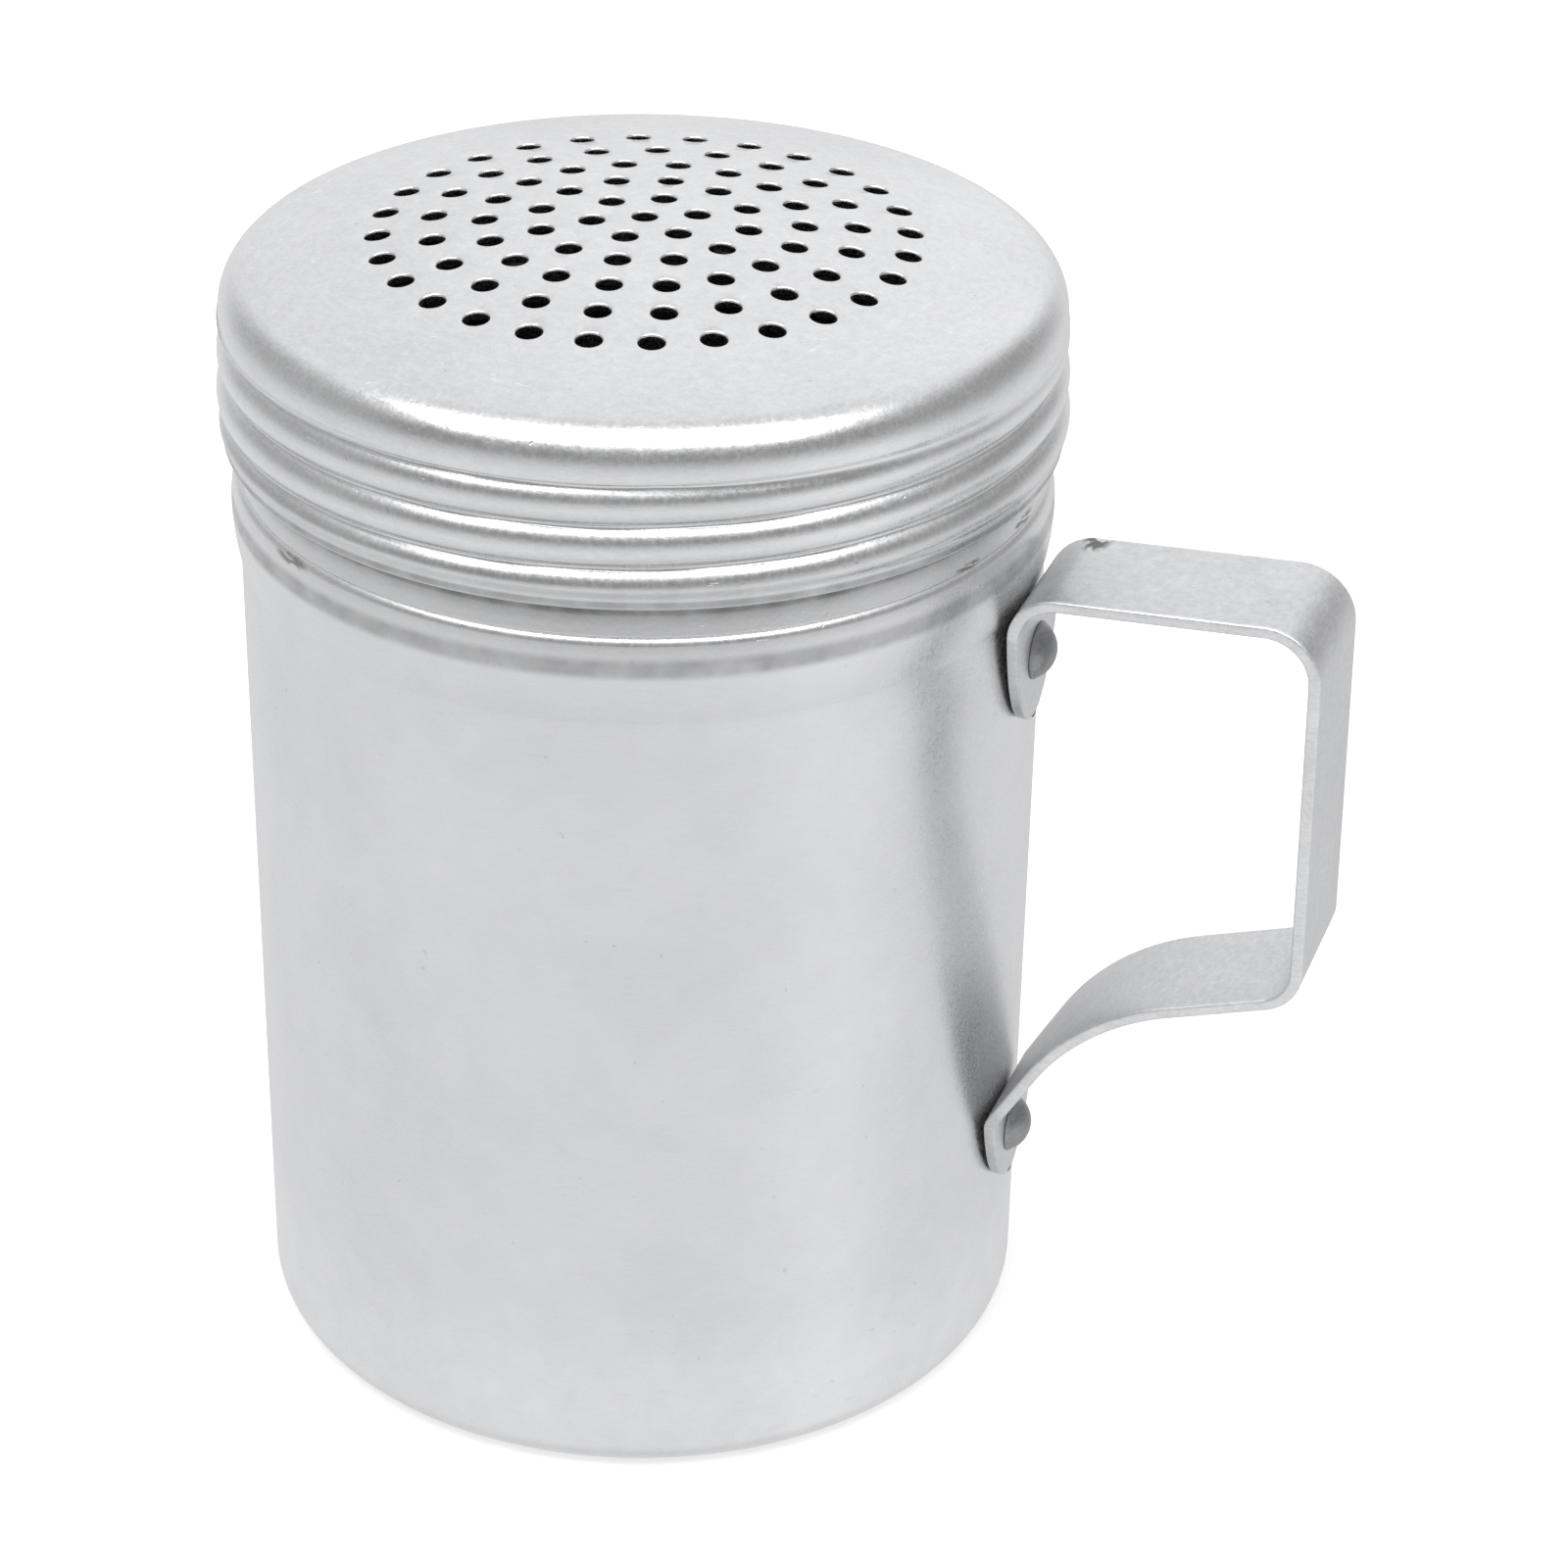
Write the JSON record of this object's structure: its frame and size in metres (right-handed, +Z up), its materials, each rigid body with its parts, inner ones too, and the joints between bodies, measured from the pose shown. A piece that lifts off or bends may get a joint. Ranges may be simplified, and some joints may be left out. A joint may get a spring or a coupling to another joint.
{
  "type": "spice shaker",
  "caption": "Cylindrical aluminium spice shaker with a screw-on domed lid of small sprinkle holes and a riveted strap handle on one side.",
  "frame": {"origin": "centre of the cup's flat bottom, on its lower face", "axes": "+Z up along the cup's axis, +X from the axis towards the handle, +Y across the handle's width"},
  "size_m": [0.0948, 0.0698, 0.1009],
  "materials": {
    "cup_aluminium": "satin, drawn and lightly worn",
    "lid_aluminium": "satin, with rolled threads",
    "strap_aluminium": "matte mill finish with sheared edges",
    "rivet_aluminium": "matte, darker than the cup"
  },
  "bodies": {
    "cup": {"cup": "cup_aluminium", "handle": "strap_aluminium", "upper_rivet": "rivet_aluminium", "lower_rivet": "rivet_aluminium"},
    "lid_hem": {"lid_hem": "lid_aluminium"},
    "lid": {"lid": "lid_aluminium"}
  },
  "joints": [
    {"name": "lid_rise", "type": "slide", "parent": "cup", "child": "lid_hem", "axis": [0, 0, 1], "range_m": [0, 0.0171]},
    {"name": "lid_turn", "type": "hinge", "parent": "lid_hem", "child": "lid", "pos_m": [0, 0, 0.09], "axis": [0, 0, 1], "range_deg": [0, 1800]}
  ],
  "couplings": [
    {"joint": "lid_rise", "follows": "lid_turn", "m_per_rad": 0.00054113}
  ]
}
